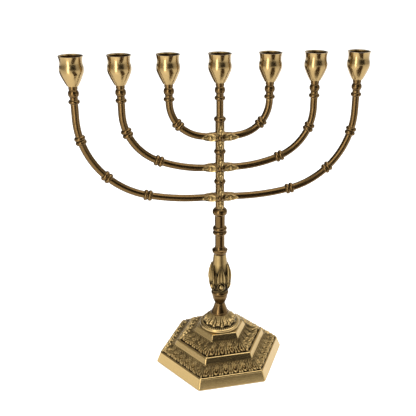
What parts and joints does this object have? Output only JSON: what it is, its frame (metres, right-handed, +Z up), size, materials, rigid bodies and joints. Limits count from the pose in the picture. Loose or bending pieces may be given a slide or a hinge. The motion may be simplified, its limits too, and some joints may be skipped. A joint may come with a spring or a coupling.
{
  "type": "menorah",
  "caption": "Brass seven-branch candelabrum on a stepped hexagonal foot, with removable candle cups and branch tiers that turn on a central tie rod.",
  "frame": {"origin": "centre of the foot's underside, on the surface it stands on", "axes": "+Z up the stem, X along the arms, +Y towards the back"},
  "size_m": [0.3096, 0.1346, 0.35],
  "materials": {
    "antique_brass": "antique, dark recesses",
    "foot_brass": "satin, dark recesses",
    "satin_brass_cup": "satin lacquered",
    "plated_steel": "zinc plated"
  },
  "bodies": {
    "stand": {"base_casting": "foot_brass", "base_boss": "antique_brass", "stem_foot": "antique_brass", "stem_knob": "antique_brass", "leaf_knop": "antique_brass", "lower_column": "antique_brass", "top_column": "antique_brass", "tie_rod": "plated_steel", "base_washer": "plated_steel", "base_nut": "plated_steel", "candle_cup_4": "satin_brass_cup", "cup_screw_4": "plated_steel"},
    "lower_tier": {"lower_branches": "antique_brass", "candle_cup_1": "satin_brass_cup", "candle_cup_7": "satin_brass_cup", "cup_screw_1": "plated_steel", "cup_screw_7": "plated_steel"},
    "middle_tier": {"middle_branches": "antique_brass", "candle_cup_2": "satin_brass_cup", "candle_cup_6": "satin_brass_cup", "cup_screw_2": "plated_steel", "cup_screw_6": "plated_steel"},
    "upper_tier": {"upper_branches": "antique_brass", "candle_cup_3": "satin_brass_cup", "candle_cup_5": "satin_brass_cup", "cup_screw_3": "plated_steel", "cup_screw_5": "plated_steel"}
  },
  "joints": [
    {"name": "lower_swivel", "type": "hinge", "parent": "stand", "child": "lower_tier", "pos_m": [0, 0, 0.1988], "axis": [0, 0, 1], "continuous": true},
    {"name": "middle_swivel", "type": "hinge", "parent": "stand", "child": "middle_tier", "pos_m": [0, 0, 0.23205], "axis": [0, 0, 1], "continuous": true},
    {"name": "upper_swivel", "type": "hinge", "parent": "stand", "child": "upper_tier", "pos_m": [0, 0, 0.2653], "axis": [0, 0, 1], "continuous": true}
  ]
}
